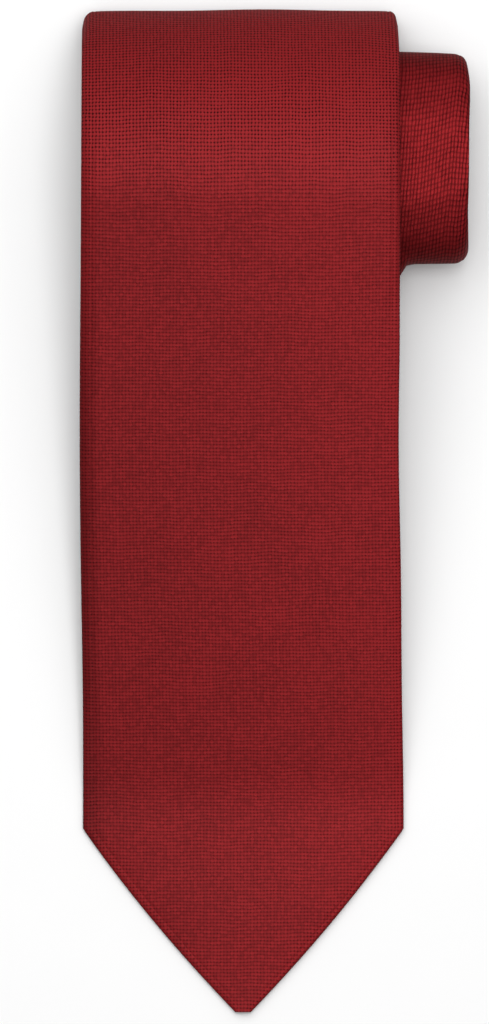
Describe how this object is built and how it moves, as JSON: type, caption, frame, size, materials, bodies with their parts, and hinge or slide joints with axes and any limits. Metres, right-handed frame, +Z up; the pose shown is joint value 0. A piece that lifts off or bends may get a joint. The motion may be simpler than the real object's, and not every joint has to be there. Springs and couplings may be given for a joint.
{
  "type": "necktie",
  "caption": "Folded woven silk necktie, rolled from the neck and laid face up, with the blade over the roll and a side loop of the roll showing.",
  "frame": {"origin": "on the table under the middle of the roll, on the blade's centre line", "axes": "+Z up; +Y from the blade's tip to the top fold; +X to the side of the roll that shows"},
  "size_m": [0.108, 0.2811, 0.0405],
  "materials": {
    "silk": "basket-woven dark red silk with a soft sheen",
    "interlining": "brushed wool-blend interlining, undyed",
    "lining": "plain dark red satin tipping",
    "thread": "dark red twisted sewing thread",
    "label": "blank black woven label",
    "care_tape": "blank off-white label tape"
  },
  "bodies": {
    "roll": {"blade_panel_roll": "silk", "neck_panel": "silk", "tail_panel_roll": "silk", "blade_interlining_roll": "interlining", "tail_interlining_roll": "interlining", "blade_neck_seam": "thread", "neck_tail_seam": "thread", "roll_slip_stitch": "thread", "tail_roll_slip_stitch": "thread"},
    "blade": {"blade_panel": "silk", "blade_interlining": "interlining", "blade_slip_stitch": "thread", "keeper_loop": "silk", "keeper_tack_left": "thread", "keeper_tack_right": "thread", "maker_label": "label", "label_stitch_left": "thread", "label_stitch_right": "thread"},
    "point": {"point_panel": "silk", "point_interlining": "interlining", "blade_tipping": "lining", "blade_bar_tack": "thread", "point_slip_stitch": "thread", "hem_stitch_left": "thread", "hem_stitch_right": "thread"},
    "tail": {"tail_panel": "silk", "tail_interlining": "interlining", "tail_tipping": "lining", "tail_bar_tack": "thread", "tail_slip_stitch": "thread", "care_label": "care_tape"}
  },
  "joints": [
    {"name": "blade_lift", "type": "hinge", "parent": "roll", "child": "blade", "pos_m": [0, -0.003, 0.0408], "axis": [-1, 0, 0], "range_deg": [0, 150]},
    {"name": "blade_curl", "type": "hinge", "parent": "blade", "child": "point", "pos_m": [0, -0.11792, 0.0163], "axis": [-1, 0, 0], "range_deg": [0, 60]},
    {"name": "tail_slip", "type": "slide", "parent": "blade", "child": "tail", "axis": [0, -0.9759, -0.2181], "range_m": [0, 0.012]}
  ]
}
